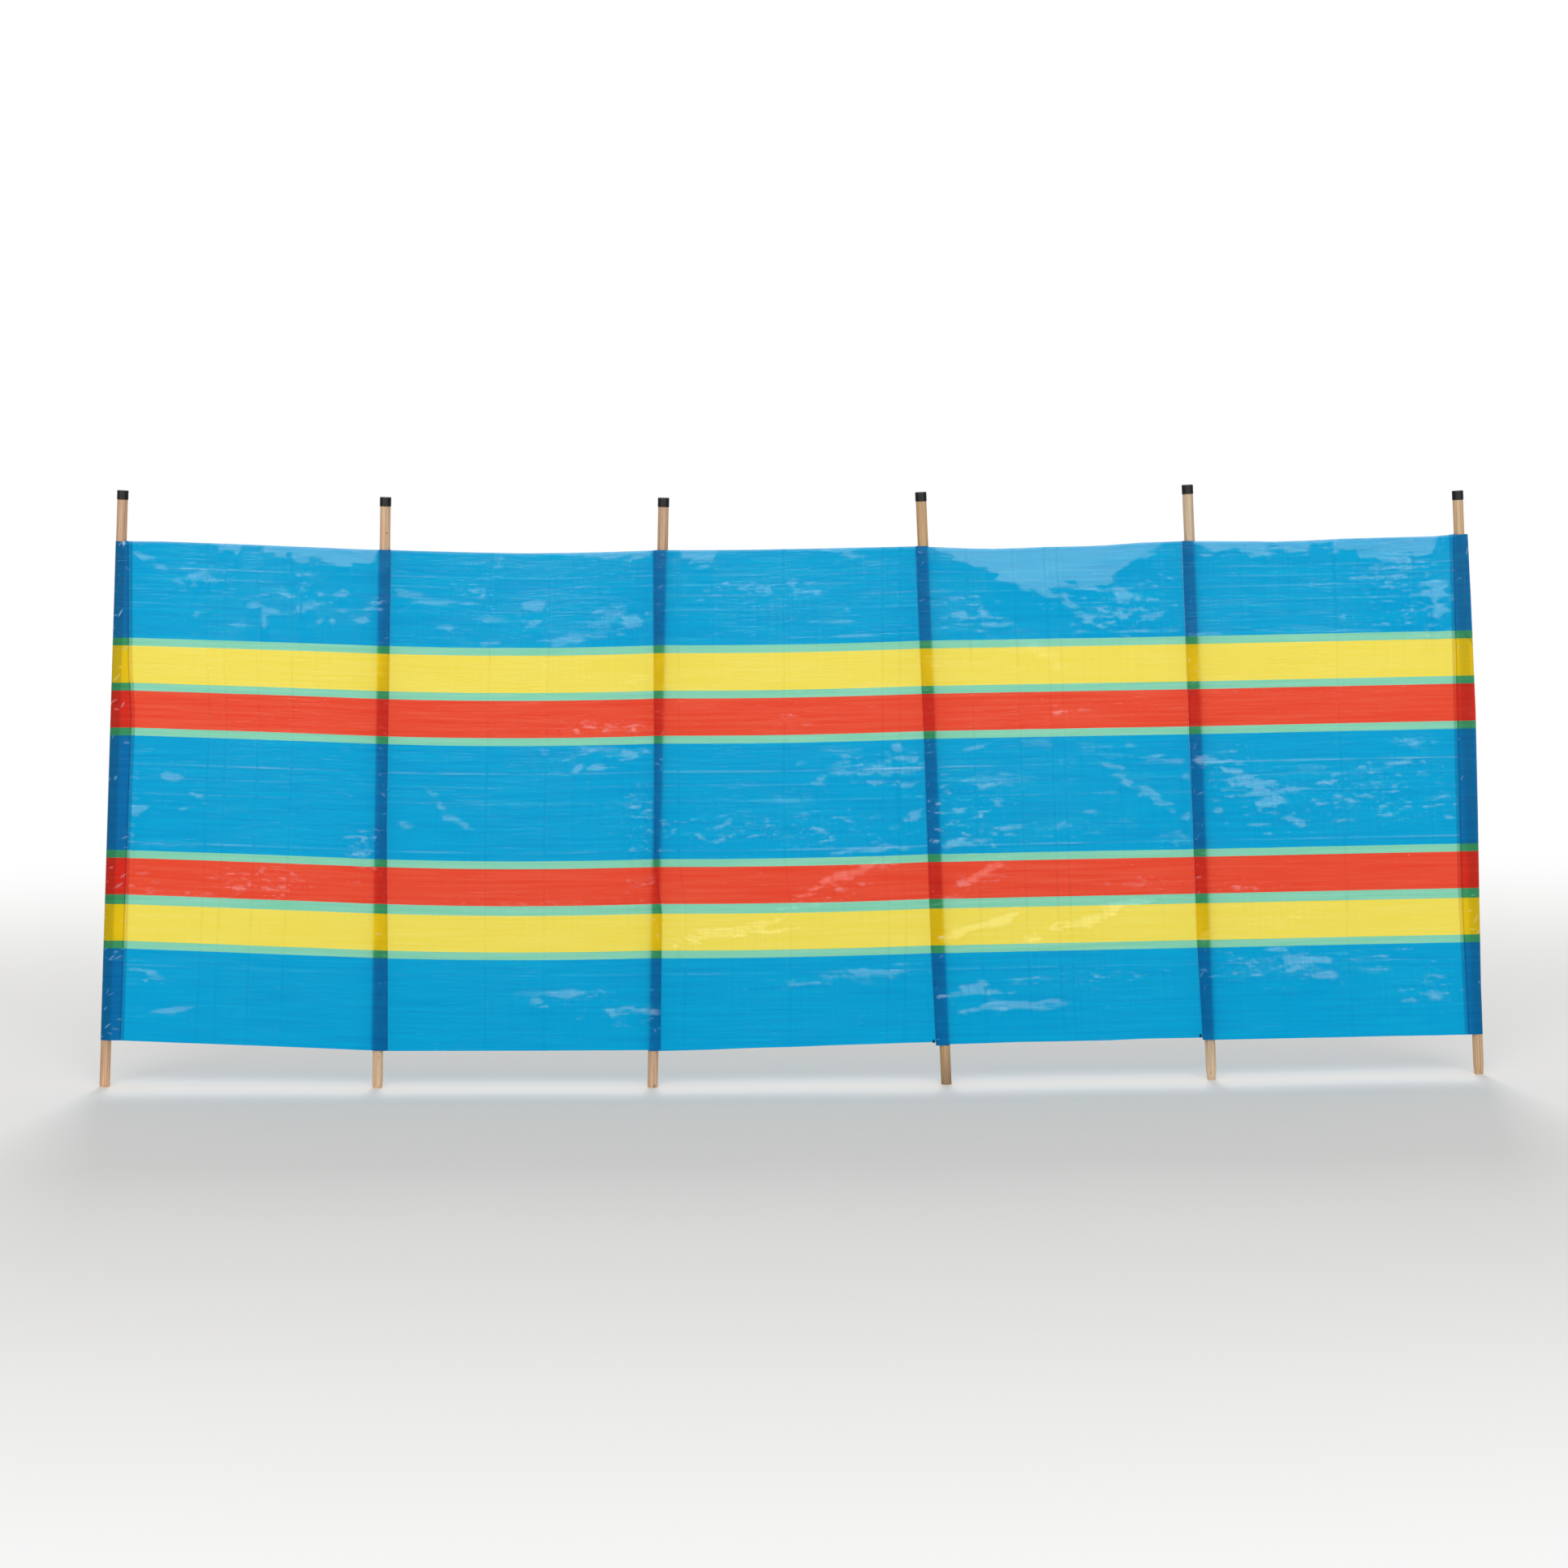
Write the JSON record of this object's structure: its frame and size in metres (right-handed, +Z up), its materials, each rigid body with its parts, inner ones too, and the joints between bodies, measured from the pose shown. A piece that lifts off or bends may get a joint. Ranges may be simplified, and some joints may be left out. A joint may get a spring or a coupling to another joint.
{
  "type": "beach windbreak",
  "caption": "Striped plastic-cloth windbreak in bays, held up by capped round wooden poles in sewn sleeves and pushed into the ground.",
  "frame": {"origin": "centre of the left-hand end pole's foot at ground level, on the flat face where the pole enters the ground", "axes": "+X along the windbreak to the right as seen from its smooth front, -Y towards that front, +Z up"},
  "size_m": [3.3566, 0.1191, 1.4395],
  "materials": {
    "pole_wood": "planed softwood, unfinished",
    "cap_plastic": "satin black moulded plastic",
    "striped_cloth": "glossy laminated woven plastic, striped blue, green, yellow and red",
    "sleeve_cloth": "the same cloth, doubled round the poles"
  },
  "bodies": {
    "root": {"pole_1": "pole_wood", "pole_2": "pole_wood", "pole_3": "pole_wood", "pole_4": "pole_wood", "pole_5": "pole_wood", "pole_6": "pole_wood", "pole_cap_1": "cap_plastic", "pole_cap_2": "cap_plastic", "pole_cap_3": "cap_plastic", "pole_cap_4": "cap_plastic", "pole_cap_5": "cap_plastic", "pole_cap_6": "cap_plastic", "bay_1": "striped_cloth", "bay_2": "striped_cloth", "bay_3": "striped_cloth", "bay_4": "striped_cloth", "bay_5": "striped_cloth", "sleeve_1": "sleeve_cloth", "sleeve_2": "sleeve_cloth", "sleeve_3": "sleeve_cloth", "sleeve_4": "sleeve_cloth", "sleeve_5": "sleeve_cloth", "sleeve_6": "sleeve_cloth"}
  },
  "joints": []
}
